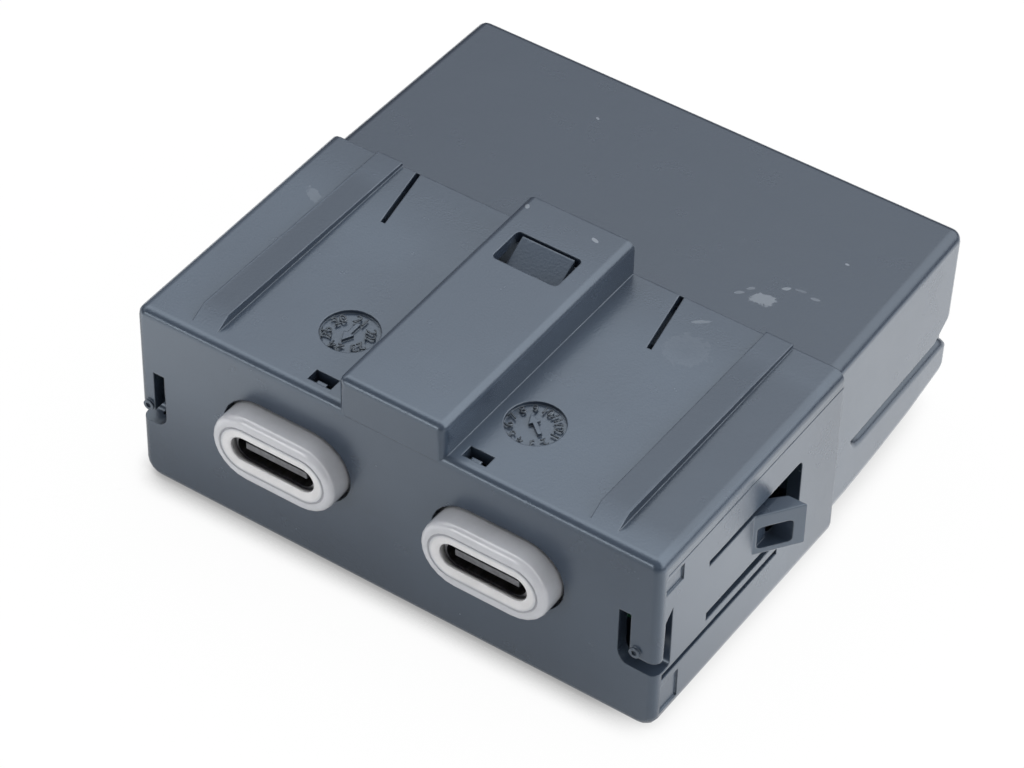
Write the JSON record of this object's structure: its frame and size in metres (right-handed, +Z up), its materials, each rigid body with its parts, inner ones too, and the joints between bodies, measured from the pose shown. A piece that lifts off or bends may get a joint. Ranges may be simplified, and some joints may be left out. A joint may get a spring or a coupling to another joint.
{
  "type": "car usb socket",
  "caption": "Console charging module: USB-C ports in translucent surrounds, a moulded snap-in front sleeve and a rear housing with the harness connector.",
  "frame": {"origin": "centre of the bounding box's bottom face", "axes": "+Z up through the top rib, -Y out of the ports towards the plug, +X to the right as seen from the ports"},
  "size_m": [0.0618, 0.0548, 0.0242],
  "materials": {
    "case_plastic": "fine moulded texture",
    "light_guide": "translucent, satin",
    "shell_steel": "drawn",
    "blade_plastic": "satin",
    "board_green": "solder mask",
    "chip_black": "moulded",
    "ferrite_grey": "pressed ferrite",
    "can_aluminium": "satin",
    "ceramic_tan": "fired",
    "led_white": "satin",
    "pad_grey": "soft",
    "header_black": "moulded",
    "pin_tin": "tin plated"
  },
  "bodies": {
    "root": {"front_sleeve": "case_plastic", "rear_housing": "case_plastic", "port_surround_left": "light_guide", "port_surround_right": "light_guide", "usb_shell_left": "shell_steel", "usb_shell_right": "shell_steel", "contact_blade_left": "blade_plastic", "contact_blade_right": "blade_plastic", "circuit_board": "board_green", "guide_led_left": "led_white", "guide_led_right": "led_white", "charge_controller_left": "chip_black", "charge_controller_right": "chip_black", "power_inductor_left": "ferrite_grey", "power_inductor_right": "ferrite_grey", "thermal_pad_left": "pad_grey", "thermal_pad_right": "pad_grey", "heat_spreader": "can_aluminium", "microcontroller": "chip_black", "crystal": "can_aluminium", "choke": "ferrite_grey", "input_fuse": "ceramic_tan", "power_transistor_1": "chip_black", "power_transistor_2": "chip_black", "power_transistor_3": "chip_black", "power_transistor_4": "chip_black", "input_capacitor_1": "can_aluminium", "input_capacitor_2": "can_aluminium", "input_capacitor_3": "can_aluminium", "input_capacitor_4": "can_aluminium", "ceramic_capacitor_1": "ceramic_tan", "ceramic_capacitor_2": "ceramic_tan", "ceramic_capacitor_3": "ceramic_tan", "ceramic_capacitor_4": "ceramic_tan", "rear_connector": "header_black", "connector_pin_1": "pin_tin", "connector_pin_2": "pin_tin", "connector_pin_3": "pin_tin", "connector_pin_4": "pin_tin"}
  },
  "joints": []
}
